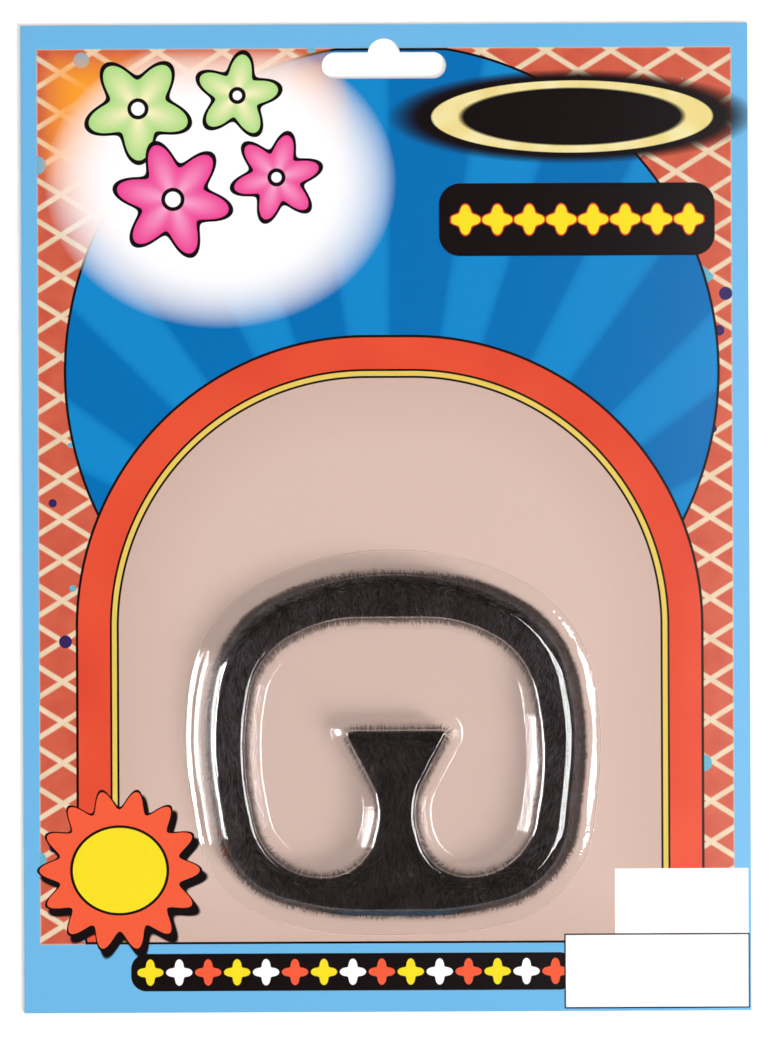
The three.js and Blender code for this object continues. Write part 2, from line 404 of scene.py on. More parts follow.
def face_outwards(made):
    """Points all faces outwards and leaves edit mode."""
    bpy.ops.mesh.select_all(action="SELECT")
    bpy.ops.mesh.normals_make_consistent(inside=False)
    bpy.ops.object.mode_set(mode="OBJECT")
    print(made.name, "faces:", len(made.data.polygons))


def at_height(points, z):
    """Points of an outline with a height."""
    return np.column_stack([points, np.broadcast_to(z, len(points))])


# %% [markdown]
# The blister is one sheet of film, drawn over a mould while soft. Its section is a flat flange, a
# rounded foot, a steep wall, a rounded shoulder and a flat top, and the same again down into the
# opening of the ring. A wall that meets the flat in a round edge is what catches the light boxes, so
# the rounds get many steps. The film never lies quite flat on the card: its flange ripples, most at
# the right, and curls up at the left, and the walls of the opening bulge a little.

# %% Section of the blister
FILM = 0.35 * MM
FOOT_REACH = 2.55 * MM
SHOULDER_REACH = -1.3 * MM
HOLE_FOOT_REACH = 3.45 * MM
HOLE_SHOULDER_REACH = 0.05 * MM
OUTER_ROUNDS = (2.2 * MM, 3.1 * MM)
HOLE_ROUNDS = (1.0 * MM, 1.3 * MM)
ROUND_STEPS = 12
HOLE_BULGE = 0.12 * MM
EDGE_ROLL = 0.35 * MM
ROLL_SHARE = 0.5
LEFT_CURL = 0.5 * MM
CURL_FROM, CURL_OVER = 0.1, 0.37
LONG_RIPPLE, SHORT_RIPPLE = 11 * MM, 3.5 * MM
FLANGE_SHARES = (0.1, 0.22, 0.36, 0.52, 0.75)
FLAT_MARGIN = 0.5 * MM
BLISTER_ARC_STEP = math.radians(3)
BLISTER_LINE_STEP = 1.0 * MM

film_top = blister_box[0].z + FILM
dome_top = blister_box[1].z


def rounded_corner(before, corner, after, radius):
    """Points of an arc that rounds one corner of the section."""
    to_before = (before - corner).normalized()
    to_after = (after - corner).normalized()
    half = to_before.angle(to_after) / 2
    middle = corner + (to_before + to_after).normalized() * radius / math.sin(half)
    start = corner + to_before * radius / math.tan(half) - middle
    end = corner + to_after * radius / math.tan(half) - middle
    shares = [step / ROUND_STEPS for step in range(ROUND_STEPS + 1)]
    return [middle + start.slerp(end, share).normalized() * radius for share in shares]


def wall_section(foot, shoulder, rounds, bulge=0):
    """The section from the foot up to the shoulder, as reaches from the hair's edge and heights."""
    lower, upper = Vector((foot, film_top)), Vector((shoulder, dome_top))
    outside, inside = lower + Vector((1, 0)), upper - Vector((1, 0))
    below = rounded_corner(outside, lower, upper, rounds[0])
    above = rounded_corner(lower, upper, inside, rounds[1])
    outwards = Vector((dome_top - film_top, foot - shoulder)).normalized()
    between = [below[-1].lerp(above[0], share) + outwards * bulge * 4 * share * (1 - share)
               for share in (0.15, 0.3, 0.5, 0.7, 0.85) if bulge]
    return below + between + above


def ripple(points):
    """How far the film stands up at points of the flange: long waves, higher at the right."""
    rises = []
    for x, y in points:
        wave = noise.noise(Vector((x, y, 0)) / LONG_RIPPLE)
        wave += 0.6 * noise.noise(Vector((x, y, 9)) / SHORT_RIPPLE)
        right = min(1, max(0, (x - blister_centre[0]) / (40 * MM)))
        rises.append((0.12 + 0.75 * right ** 3) * max(0, wave + 0.5) * MM)
    return np.array(rises)


def blister_levels():
    """The levels over the outer wall, from the flange's edge up, and down into the opening."""
    outer = [(FLANGE_REACH, film_top)]
    wall = [tuple(point) for point in wall_section(FOOT_REACH, SHOULDER_REACH, OUTER_ROUNDS)]
    outer += [(FLANGE_REACH + share * (wall[0][0] - FLANGE_REACH), film_top)
              for share in FLANGE_SHARES]
    outer += wall
    outer.append((outer[-1][0] - FLAT_MARGIN, dome_top))
    hole = wall_section(HOLE_FOOT_REACH, HOLE_SHOULDER_REACH, HOLE_ROUNDS, HOLE_BULGE)
    hole = [tuple(point) for point in hole][::-1]
    hole.insert(0, (hole[0][0] - FLAT_MARGIN, dome_top))
    hole.append((hole[-1][0] + FLAT_MARGIN, film_top))
    return outer, hole


def blister_level(corners, side, reach, z):
    """One level of the film, at a reach from the hair's edge. The flange stands off the card."""
    points = outline(corners, side * reach, BLISTER_ARC_STEP, BLISTER_LINE_STEP) + blister_centre
    level = at_height(points, z)
    if side > 0:
        from_edge = (FLANGE_REACH - reach) / (FLANGE_REACH - FOOT_REACH)
        roll = math.sin(math.radians(90) * min(1, from_edge / ROLL_SHARE))
        left_of_wall = (dome_top - z) / (dome_top - film_top)
        at_left = np.clip((blister_centre[0] - points[:, 0]) / (20 * MM) - 1, 0, 1)
        curl = LEFT_CURL * at_left * min(1, max(0, (from_edge - CURL_FROM) / CURL_OVER))
        level[:, 2] += (EDGE_ROLL * roll + curl) * left_of_wall
        level[:, 2] += ripple(points) * min(1, from_edge) * roll * left_of_wall
    return level


# %% Blister
outer_levels, hole_levels = blister_levels()
blister, edge = start_mesh("clear_blister", blister_level(OUTER_CORNERS, 1, *outer_levels[0]))
for reach, z in outer_levels[1:]:
    edge = extrude_to(blister, edge, blister_level(OUTER_CORNERS, 1, reach, z))
top_edge = edge
edge = add_loop(blister, blister_level(HOLE_CORNERS, -1, *hole_levels[0]))
fill_between(blister, top_edge, edge)
hole_edge = add_loop(blister, blister_level(HOLE_CORNERS, -1, *hole_levels[0]))
for reach, z in hole_levels[1:]:
    hole_edge = extrude_to(blister, hole_edge, blister_level(HOLE_CORNERS, -1, reach, z))
fill_between(blister, hole_edge)
bpy.ops.mesh.select_all(action="SELECT")
bpy.ops.mesh.remove_doubles(threshold=0.002 * MM)
face_outwards(blister)

thickness = blister.modifiers.new("film", "SOLIDIFY")
thickness.thickness = FILM
thickness.offset = -1
bpy.ops.object.modifier_apply(modifier="film")
bpy.ops.object.shade_smooth_by_angle(angle=math.radians(40))
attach(blister, "root")
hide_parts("blister")

# %% [markdown]
# Clear film is a Principled shader with full transmission. Light has to reach the print and the fur
# below it, and Cycles lets none through glass on the straight way to a lamp, so a transparent shader
# stands in for the rays that gather light for matt surfaces. A faint unevenness of the surface breaks
# up the mirrored lines, and the flange, which was squeezed in the sealing press, is rougher at the
# right, where it stands off the card.

# %% Material of the film
FILM_WAVES, FILM_MOTTLE = 160, 900
MOTTLE_FROM, MOTTLE_FULL, MOTTLE_WEIGHT = 30 * MM, 48 * MM, 3.0
FLANGE_UP_TO, FLANGE_BELOW = 2.6 * MM, 1.6 * MM

film_material, film_tree, film_shader = new_material("clear_film", 0.045)
film_shader.inputs["Base Color"].default_value = (0.985, 0.99, 0.995, 1)
film_shader.inputs["Transmission Weight"].default_value = 1.0
film_shader.inputs["IOR"].default_value = 1.35
film_places = add_node(film_tree, "ShaderNodeTexCoord").outputs["Object"]
film_split = add_node(film_tree, "ShaderNodeSeparateXYZ", [film_places]).outputs
at_right = map_range(film_tree, film_split["X"], MOTTLE_FROM, MOTTLE_FULL, 0.0, MOTTLE_WEIGHT)
on_flange = map_range(film_tree, film_split["Z"], FLANGE_UP_TO, FLANGE_BELOW)
film_height = calculate(
    film_tree, "MULTIPLY_ADD", noise_pattern(film_tree, film_places, FILM_MOTTLE, 1.0),
    calculate(film_tree, "MULTIPLY", at_right, on_flange),
    noise_pattern(film_tree, film_places, FILM_WAVES))
connect(film_tree, bump(film_tree, film_height, 0.3, 0.15 * MM), film_shader.inputs["Normal"])
film_path = add_node(film_tree, "ShaderNodeLightPath").outputs
gathers = calculate(film_tree, "MAXIMUM", film_path["Is Shadow Ray"], film_path["Is Diffuse Ray"])
clear = add_node(film_tree, "ShaderNodeBsdfTransparent", [(0.985, 0.985, 0.985, 1)])
film_mix = add_node(film_tree, "ShaderNodeMixShader", [gathers, film_shader.outputs[0], clear.outputs[0]])
connect(film_tree, film_mix.outputs[0], film_tree.nodes["Material Output"].inputs["Surface"])
blister.data.materials.append(film_material)

# %% [markdown]
# Under the hairs lies the pile's body, the mass that is too dense to look into. Its colour is painted
# darker than the hairs', as painted shade deep in the pile. It has the form of the solid model's pile,
# straight at the backing and rounded at its upper edge, but smooth.

# %% Body of the pile
BACKING = 0.9 * MM
PILE_EDGE_INSET = 2.6 * MM
LOCK_RISE = 0.7 * MM
PILE_STEPS = 8
PILE_ARC_STEP = math.radians(5)
PILE_LINE_STEP = 2.0 * MM

seat = hair_box[0].z
backing_top = seat + BACKING
pile_height = hair_box[1].z - LOCK_RISE - backing_top


def pile_level(corners, side, inset, z):
    points = outline(corners, -side * inset, PILE_ARC_STEP, PILE_LINE_STEP) + hair_centre
    return at_height(points, z)


turns = np.linspace(0, math.pi / 2, PILE_STEPS + 1)
pile_rows = [(0, seat)] + [
    (PILE_EDGE_INSET * (1 - math.cos(turn)), backing_top + pile_height * math.sin(turn))
    for turn in turns
]
pile, edge = start_mesh("pile_body", pile_level(OUTER_CORNERS, 1, *pile_rows[0]))
base_edge = edge
for inset, z in pile_rows[1:]:
    edge = extrude_to(pile, edge, pile_level(OUTER_CORNERS, 1, inset, z))
hole_base = add_loop(pile, pile_level(HOLE_CORNERS, -1, *pile_rows[0]))
hole_edge = hole_base
for inset, z in pile_rows[1:]:
    hole_edge = extrude_to(pile, hole_edge, pile_level(HOLE_CORNERS, -1, inset, z))
fill_between(pile, edge, hole_edge)
fill_between(pile, base_edge, hole_base)
face_outwards(pile)
bpy.ops.object.shade_smooth_by_angle(angle=math.radians(50))
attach(pile, "root")
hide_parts("moustache_and_beard")

# %% [markdown]
# Fur is many thousand hairs, so they are counted, placed and bent in arrays rather than by hand.
# Each hair is a thin three-sided spike with one bend, so that it is a closed body and catches light
# from any side. To know where a hair may grow and where the film stops it, the ring's distance field
# is worked out once: at each point of a grid, how deep it lies inside the ring's edge.

# %% Distance field of the ring
FIELD_STEP = 0.35 * MM
FIELD_MARGIN = 4 * MM


def field_of(loops, low, high):
    """Depth inside the ring between the loops, and whether the inner loop is the nearer one."""
    xs = np.arange(low[0], high[0], FIELD_STEP)
    ys = np.arange(low[1], high[1], FIELD_STEP)
    x, y = np.meshgrid(xs, ys, indexing="ij")
    distances = []
    inside = np.zeros(x.shape, bool)
    for loop in loops:
        nearest = np.full(x.shape, np.inf)
        for (ax, ay), (bx, by) in zip(loop, np.roll(loop, -1, axis=0)):
            dx, dy = bx - ax, by - ay
            if dx == 0 and dy == 0:
                continue
            share = np.clip(((x - ax) * dx + (y - ay) * dy) / (dx * dx + dy * dy), 0, 1)
            nearest = np.minimum(nearest, np.hypot(x - ax - share * dx, y - ay - share * dy))
            if dy != 0:
                crosses = (ay > y) != (by > y)
                inside ^= crosses & (x < ax + dx * (y - ay) / dy)
        distances.append(nearest)
    depth = np.where(inside, 1, -1) * np.minimum(*distances)
    return depth, distances[1] < distances[0]


field_low = np.array([hair_box[0].x, hair_box[0].y]) - FIELD_MARGIN
field_high = np.array([hair_box[1].x, hair_box[1].y]) + FIELD_MARGIN
hair_loops = [outline(corners, 0, math.radians(5), 20 * MM) + hair_centre
              for corners in (OUTER_CORNERS, HOLE_CORNERS)]
depth_field, hole_nearer = field_of(hair_loops, field_low, field_high)
slope_field = np.gradient(depth_field, FIELD_STEP)


def sample(field, points):
    """The field's value at points, between its grid points."""
    place = (points[:, :2] - field_low) / FIELD_STEP
    corner = np.clip(place.astype(int), 0, np.array(field.shape) - 2)
    share = np.clip(place - corner, 0, 1)
    i, j = corner.T
    lower = field[i, j] * (1 - share[:, 0]) + field[i + 1, j] * share[:, 0]
    upper = field[i, j + 1] * (1 - share[:, 0]) + field[i + 1, j + 1] * share[:, 0]
    return lower * (1 - share[:, 1]) + upper * share[:, 1]


def inwards(points):
    """The direction into the ring at points, flat and of length 1."""
    slope = np.column_stack([sample(slope_field[0], points), sample(slope_field[1], points)])
    return slope / np.maximum(np.linalg.norm(slope, axis=1), 1e-6)[:, None]


print("ring's area in square mm:", round((depth_field > 0).sum() * FIELD_STEP ** 2 / MM ** 2))

# %% Room under the film
HAIR_CLEARANCE = 0.15 * MM
OFF_CENTRE = float(np.linalg.norm(hair_centre - blister_centre))


def press_under_film(points):
    """Moves points that would lie in the film back towards the ring, as packed hair is pressed."""
    z = points[:, 2]
    near_hole = sample(hole_nearer.astype(float), points) > 0.5
    foot = np.where(near_hole, HOLE_FOOT_REACH, FOOT_REACH)
    shoulder = np.where(near_hole, HOLE_SHOULDER_REACH, SHOULDER_REACH)
    share = (z - film_top) / (dome_top - film_top)
    reach = foot + (shoulder - foot) * share - FILM - HAIR_CLEARANCE - OFF_CENTRE
    excess = np.maximum(0, -sample(depth_field, points) - reach)
    pressed = points.copy()
    pressed[:, :2] += inwards(points) * excess[:, None]
    pressed[:, 2] = np.clip(z, seat, dome_top - 2 * FILM)
    return pressed


# %% [markdown]
# The pile was combed towards the chin. Each hair starts a little inside the pile's body, rises, and
# bends over at its middle. Slow waves over the ring turn neighbouring hairs alike, which gives the
# locks, and hairs near an edge lean out over it. At the upper left and down the right the fur was
# pressed out when the card was packed, so more hairs fill the room between the pile and the film.

# %% Growing hairs
HAIR_PITCH = 0.215 * MM
HAIR_LENGTH = 2.9 * MM
HAIR_RADIUS = 0.055 * MM
ROOT_DEPTH = 0.3 * MM
EDGE_ROOM = 0.02 * MM
SIDES = 3
SPILL_LAYERS = 6
SPILL_DEPTH = 1.1 * MM
SPILLS = (
    (-28 * MM, -20 * MM, 11 * MM),
    (28 * MM, -16 * MM, 9 * MM),
    (40 * MM, -27 * MM, 10 * MM),
    (46 * MM, -45 * MM, 12 * MM),
    (46 * MM, -66 * MM, 12 * MM),
)


def waves(points, length, count=7):
    """A smooth random value between about -1 and 1 at points, with waves of about this length."""
    value = np.zeros(len(points))
    for _ in range(count):
        turn = random.uniform(0, math.tau)
        pace = math.tau / (length * random.uniform(0.7, 1.6))
        phase = random.uniform(0, math.tau)
        value += np.sin(pace * (points[:, 0] * math.cos(turn) + points[:, 1] * math.sin(turn)) + phase)
    return value / math.sqrt(count)


def pile_surface(depth):
    """Height of the pile's body at a depth inside the ring's edge."""
    share = np.clip(1 - depth / PILE_EDGE_INSET, 0, 1)
    return backing_top + pile_height * np.sqrt(1 - share ** 2)


def spilling(points):
    """How far the fur pushes out beyond its edge at points: 1 at the middle of such a place."""
    share = np.zeros(len(points))
    for across, up, size in SPILLS:
        share += np.exp(-((points[:, 0] - across) ** 2 + (points[:, 1] - up) ** 2) / size ** 2)
    return np.clip(share, 0, 1)


def root_places():
    """Roots on a shaken grid over the whole ring."""
    xs = np.arange(hair_box[0].x, hair_box[1].x, HAIR_PITCH)
    ys = np.arange(hair_box[0].y, hair_box[1].y, HAIR_PITCH)
    grid = np.stack(np.meshgrid(xs, ys), axis=-1).reshape(-1, 2)
    grid += random.uniform(-0.5, 0.5, grid.shape) * HAIR_PITCH
    return grid[sample(depth_field, grid) > EDGE_ROOM]


def bent_hairs(roots):
    """Root, middle and tip of each hair."""
    count = len(roots)
    depth = sample(depth_field, roots)
    rim = np.clip(1 - depth / PILE_EDGE_INSET, 0, 1)[:, None]
    spill = spilling(roots)[:, None]
    comb = math.radians(-90) + math.radians(16) * waves(roots, 14 * MM)
    comb += math.radians(12) * waves(roots, 4 * MM) + random.normal(0, math.radians(20), count)
    flat = np.column_stack([np.cos(comb), np.sin(comb)])
    against = np.clip((flat * inwards(roots)).sum(axis=1), 0, 1)[:, None]
    outward = np.sqrt(rim) * (0.5 + 1.2 * against + 0.4 * spill)
    flat = flat * (1 - 0.45 * rim) - inwards(roots) * outward
    flat /= np.maximum(np.linalg.norm(flat, axis=1), 1e-6)[:, None]
    lift = math.radians(27) + math.radians(9) * waves(roots, 5 * MM)
    lift += random.normal(0, math.radians(11), count) - math.radians(22) * rim[:, 0]
    droop = lift - math.radians(34) + random.normal(0, math.radians(12), count)
    length = HAIR_LENGTH * np.clip(random.normal(1, 0.25, count), 0.4, 1.6)
    length *= 1 - 0.4 * rim[:, 0] + 0.3 * spill[:, 0] * rim[:, 0]
    root = np.column_stack([roots, pile_surface(depth) - ROOT_DEPTH])
    middle = root + along(flat, lift) * length[:, None] * 0.55
    tip = middle + along(flat, droop) * length[:, None] * 0.45
    return root, press_under_film(middle), press_under_film(tip)


def spilled_hairs():
    """Root, middle and tip of the hairs pressed into the room between the pile and the wall."""
    grid = np.concatenate([root_places() for _ in range(SPILL_LAYERS)])
    depth = sample(depth_field, grid)
    outer_edge = sample(hole_nearer.astype(float), grid) < 0.5
    grid = grid[outer_edge & (depth < SPILL_DEPTH) & (random.uniform(0, 1, len(grid)) < spilling(grid))]
    count = len(grid)
    out = -inwards(grid)
    turn = random.normal(0, math.radians(38), count)
    flat = np.column_stack([
        out[:, 0] * np.cos(turn) - out[:, 1] * np.sin(turn),
        out[:, 0] * np.sin(turn) + out[:, 1] * np.cos(turn),
    ])
    rise = random.uniform(0.05, 0.75, count)
    root = np.column_stack([grid, seat + rise * pile_height])
    length = random.uniform(1.6, 3.2, count) * MM
    middle = root + along(flat, random.normal(0.1, 0.3, count)) * length[:, None] * 0.5
    tip = middle + along(flat, random.normal(-0.5, 0.3, count)) * length[:, None] * 0.5
    return root, press_under_film(middle), press_under_film(tip)


def along(flat, lift):
    """Directions with a flat part and a lift above it."""
    return np.column_stack([flat * np.cos(lift)[:, None], np.sin(lift)])


# %% Making hairs a mesh


def spikes(name, root, middle, tip, radius, tone):
    """A joined mesh of closed three-sided spikes, with each hair's tone as an attribute."""
    count = len(root)
    run = tip - root
    run /= np.linalg.norm(run, axis=1)[:, None]
    side = np.cross(run, [0, 0, 1])
    side /= np.maximum(np.linalg.norm(side, axis=1), 1e-6)[:, None]
    over = np.cross(run, side)
    twist = random.uniform(0, math.tau, count)
    corners = np.empty((count, 2 * SIDES + 1, 3))
    for k in range(SIDES):
        angle = twist + math.tau * k / SIDES
        out = side * np.cos(angle)[:, None] + over * np.sin(angle)[:, None]
        corners[:, k] = root + out * radius[:, None]
        corners[:, SIDES + k] = middle + out * radius[:, None] * 0.85
    corners[:, -1] = tip
    faces = [(0, 2, 1)]
    for k in range(SIDES):
        following = (k + 1) % SIDES
        faces.append((k, following, SIDES + following))
        faces.append((k, SIDES + following, SIDES + k))
        faces.append((SIDES + k, SIDES + following, 2 * SIDES))
    first = np.arange(count)[:, None, None] * (2 * SIDES + 1)
    loops = (np.array(faces)[None] + first).astype(np.int32).ravel()
    mesh = bpy.data.meshes.new(name)
    mesh.vertices.add(count * (2 * SIDES + 1))
    mesh.vertices.foreach_set("co", corners.astype(np.float32).ravel())
    mesh.loops.add(len(loops))
    mesh.loops.foreach_set("vertex_index", loops)
    mesh.polygons.add(len(loops) // 3)
    mesh.polygons.foreach_set("loop_start", np.arange(0, len(loops), 3, dtype=np.int32))
    mesh.polygons.foreach_set("use_smooth", np.ones(len(loops) // 3, bool))
    tones = mesh.attributes.new("tone", "FLOAT", "POINT")
    tones.data.foreach_set("value", np.repeat(tone, 2 * SIDES + 1).astype(np.float32))
    mesh.update()
    made = bpy.data.objects.new(name, mesh)
    scene.collection.objects.link(made)
    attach(made, "root")
    print(name, "hairs:", count, "triangles:", len(mesh.polygons))
    return made


# %% Hairs of the ring
ARCH_FROM = 12 * MM
CHIN_BELOW = -23 * MM
NECK_HALF = 14 * MM

roots = root_places()
offset_from_middle = roots - hair_centre
in_arch = offset_from_middle[:, 1] > ARCH_FROM
in_chin = offset_from_middle[:, 1] < CHIN_BELOW
in_neck = ~in_arch & ~in_chin & (np.abs(offset_from_middle[:, 0]) < NECK_HALF)
at_side = ~in_arch & ~in_chin & ~in_neck
regions = {
    "fur_arch": in_arch,
    "fur_chin": in_chin,
    "fur_soul_patch": in_neck,
    "fur_left": at_side & (offset_from_middle[:, 0] < 0),
    "fur_right": at_side & (offset_from_middle[:, 0] > 0),
}
root, middle, tip = bent_hairs(roots)
# Painted sheen: hairs towards the left and right, and towards the top, are given a paler, greyer tone.
painted_sheen_at_sides = np.clip(np.abs(offset_from_middle[:, 0]) / (HAIR_WIDTH / 2), 0, 1) ** 2
painted_sheen_at_top = np.clip(offset_from_middle[:, 1] / (HAIR_HEIGHT / 2), 0, 1)
tone = random.beta(1.3, 3.4, len(roots)) + 0.08 * waves(roots, 9 * MM)
tone += 0.38 * painted_sheen_at_sides + 0.20 * painted_sheen_at_top
tone = np.clip(tone, 0, 1)
radius = HAIR_RADIUS * random.uniform(0.7, 1.3, len(roots))
furs = [spikes(name, root[part], middle[part], tip[part], radius[part], tone[part])
        for name, part in regions.items()]
spilled = spilled_hairs()
count = len(spilled[0])
furs.append(spikes("fur_spill", *spilled, np.full(count, HAIR_RADIUS), random.beta(1.6, 4, count)))

# %% [markdown]
# The hairs are near black, but not alike: some are browner at random, and a few are grey. Hairs towards
# the sides and the top get a paler tone: a painted sheen, where they would turn their side to the light.
# The tone of each hair picks its colour from a ramp. The body below is painted darker, as painted shade.

# %% Material of the fur
fur_material, fur_tree, fur_shader = new_material("black_fur", 0.5, 0.08)
fur_tone = add_node(fur_tree, "ShaderNodeAttribute", attribute_name="tone").outputs["Fac"]
fur_colour = colour_ramp(fur_tree, fur_tone, [
    (0.0, (0.010, 0.006, 0.005, 1)),
    (0.35, (0.021, 0.012, 0.011, 1)),
    (0.6, (0.048, 0.031, 0.029, 1)),
    (1.0, (0.14, 0.125, 0.14, 1)),
])
connect(fur_tree, fur_colour, fur_shader.inputs["Base Color"])

# The body's colour is painted darker than the hairs': painted shade for the depth of the pile.
body_material, body_tree, body_shader = new_material("fur_body", 0.85, 0.03)
body_places = add_node(body_tree, "ShaderNodeTexCoord").outputs["Object"]
painted_shade_body_colour = colour_ramp(body_tree, noise_pattern(body_tree, body_places, 900), [
    (0.0, (0.003, 0.002, 0.002, 1)),
    (1.0, (0.012, 0.008, 0.007, 1)),
])
connect(body_tree, painted_shade_body_colour, body_shader.inputs["Base Color"])
pile.data.materials.append(body_material)
for fur in furs:
    fur.data.materials.append(fur_material)

# %% [markdown]
# The card is plain board with a picture printed on its face. The print is drawn by the material in
# millimetres, straight from each point's place on the card. Every motif is a small node group that
# answers one question: how far inside the motif's edge does this point lie? A last group lays ink
# where the answer is more than nothing, with a line of a second ink along the edge. The design is a
# plain one of this maker's own: an arched tan field for the blister, a blue disc of rays behind it,
# a lattice of red lozenges, four flowers, a bare plate, a seal and two bare panels. A row of equal
# motifs is one motif drawn once, on a place that repeats across the card.

# %% Helpers for node groups


def blend_colours(tree, share, below, above):
    made = add_node(tree, "ShaderNodeMix", data_type="RGBA")
    for socket, value in (("Factor_Float", share), ("A_Color", below), ("B_Color", above)):
        connect(tree, value, next(s for s in made.inputs if s.identifier == socket))
    return next(s for s in made.outputs if s.identifier == "Result_Color")


def new_group(name, inputs, output):
    """An empty node group, its inputs, the socket of its answer and a helper for its sums."""
    group = bpy.data.node_groups.new(name, "ShaderNodeTree")
    for label, default in inputs:
        kind = {float: "NodeSocketFloat", tuple: "NodeSocketColor", str: "NodeSocketVector"}[type(default)]
        socket = group.interface.new_socket(label, in_out="INPUT", socket_type=kind)
        if kind != "NodeSocketVector":
            socket.default_value = default
    group.interface.new_socket(output[0], in_out="OUTPUT", socket_type=output[1])
    given = group.nodes.new("NodeGroupInput").outputs
    answer = group.nodes.new("NodeGroupOutput").inputs[0]
    return group, given, answer, partial(calculate, group)


def use_group(tree, group, values):
    """One use of a group in a material, fed in the order of its inputs."""
    return add_node(tree, "ShaderNodeGroup", values, node_tree=group).outputs[0]


def from_middle(group, given):
    """How far a place lies across and up from a motif's middle."""
    split = add_node(group, "ShaderNodeSeparateXYZ", [given["Place"]]).outputs
    return [calculate(group, "SUBTRACT", split[axis], given[middle])
            for axis, middle in (("X", "Across"), ("Y", "Up"))]


def length_of(group, x, y):
    squares = [calculate(group, "MULTIPLY", side, side) for side in (x, y)]
    return calculate(group, "SQRT", calculate(group, "ADD", *squares))


def angle_of(group, x, y, turn):
    return calculate(group, "ADD", calculate(group, "ARCTAN2", y, x), turn)


# %% Group: a disc or a flower
PLACE = "place"
FLOAT_OUT = "NodeSocketFloat"
flower_group, given, answer, work = new_group("printed_flower", [
    ("Place", PLACE), ("Across", 0.0), ("Up", 0.0), ("Radius", 10.0),
    ("Petals", 0.0), ("Petal Depth", 0.0), ("Turn", 0.0), ("Stretch", 1.0),
], ("Inside", FLOAT_OUT))
x, y = from_middle(flower_group, given)
x = work("DIVIDE", x, given["Stretch"])
angle = angle_of(flower_group, x, y, given["Turn"])
petal = work("COSINE", work("MULTIPLY", angle, given["Petals"]))
rim = work("MULTIPLY_ADD", petal, given["Petal Depth"], given["Radius"])
connect(flower_group, work("SUBTRACT", rim, length_of(flower_group, x, y)), answer)

# %% Group: a panel with round corners
panel_group, given, answer, work = new_group("printed_panel", [
    ("Place", PLACE), ("Across", 0.0), ("Up", 0.0), ("Half Width", 10.0),
    ("Half Height", 5.0), ("Round", 1.0),
], ("Inside", FLOAT_OUT))
beyond = []
for off, half in zip(from_middle(panel_group, given), ("Half Width", "Half Height")):
    straight = work("SUBTRACT", given[half], given["Round"])
    beyond.append(work("SUBTRACT", work("ABSOLUTE", off), straight))
corner = length_of(panel_group, *(work("MAXIMUM", side, 0.0) for side in beyond))
inner = work("MINIMUM", work("MAXIMUM", *beyond), 0.0)
connect(panel_group, work("SUBTRACT", given["Round"], work("ADD", corner, inner)), answer)

# %% Group: rays from a point
rays_group, given, answer, work = new_group("printed_rays", [
    ("Place", PLACE), ("Across", 0.0), ("Up", 0.0), ("Rays", 16.0), ("Turn", 0.0),
], ("Inside", FLOAT_OUT))
x, y = from_middle(rays_group, given)
angle = angle_of(rays_group, x, y, given["Turn"])
wave = work("SINE", work("MULTIPLY", angle, given["Rays"]))
width = work("DIVIDE", length_of(rays_group, x, y), given["Rays"])
connect(rays_group, work("MULTIPLY", wave, width), answer)

# %% Group: a lattice of lozenges
lattice_group, given, answer, work = new_group("printed_lattice", [
    ("Place", PLACE), ("Pitch Across", 14.0), ("Pitch Up", 9.0),
], ("Inside", FLOAT_OUT))
split = add_node(lattice_group, "ShaderNodeSeparateXYZ", [given["Place"]]).outputs
steps = [work("DIVIDE", split[axis], given[pitch])
         for axis, pitch in (("X", "Pitch Across"), ("Y", "Pitch Up"))]
edges = [work("PINGPONG", work(operation, *steps), 0.5) for operation in ("ADD", "SUBTRACT")]
connect(lattice_group, work("MULTIPLY", work("MINIMUM", *edges), given["Pitch Up"]), answer)

# %% Group: a layer of ink
ink_group, given, answer, _ = new_group("layer_of_ink", [
    ("Below", (1, 1, 1, 1)), ("Inside", 0.0), ("Fill", (1, 1, 1, 1)),
    ("Line", (0, 0, 0, 1)), ("Line Width", 0.6), ("Softness", 0.1),
], ("Colour", "NodeSocketColor"))


def step_at(tree, value, edge, softness):
    """0 below an edge and 1 above it, with a soft step between."""
    over = calculate(tree, "SUBTRACT", value, edge)
    made = calculate(tree, "DIVIDE", over, softness)
    return add_node(tree, "ShaderNodeClamp", [made]).outputs[0]


outside_edge = step_at(ink_group, given["Inside"], 0.0, given["Softness"])
inside_edge = step_at(ink_group, given["Inside"], given["Line Width"], given["Softness"])
lined = blend_colours(ink_group, outside_edge, given["Below"], given["Line"])
connect(ink_group, blend_colours(ink_group, inside_edge, lined, given["Fill"]), answer)

# %% Inks


def ink(red, green, blue):
    """An ink as it looks on screen, 0 to 255, as the linear colour that a shader needs."""
    def linear(value):
        share = value / 255
        return share / 12.92 if share <= 0.04045 else ((share + 0.055) / 1.055) ** 2.4
    return (linear(red), linear(green), linear(blue), 1.0)


SKY_BLUE = ink(108, 179, 225)
DEEP_BLUE = ink(0, 108, 176)
MID_BLUE = ink(16, 132, 198)
RED = ink(206, 56, 40)
ORANGE_RED = ink(238, 92, 58)
BRICK = ink(190, 74, 56)
LIGHT_BRICK = ink(214, 104, 78)
CREAM = ink(238, 218, 190)
TAN = ink(212, 184, 172)
DEEP_TAN = ink(204, 174, 161)
GOLD = ink(226, 196, 92)
PALE_GOLD = ink(244, 236, 190)
BLACK = ink(22, 15, 16)
ORANGE = ink(250, 158, 42)
WHITE = ink(250, 248, 250)
GREEN = ink(158, 212, 118)
MAGENTA = ink(232, 38, 138)
PINK = ink(244, 158, 198)
YELLOW = ink(242, 218, 36)
TEAL = ink(98, 172, 196)
NAVY = ink(52, 36, 92)

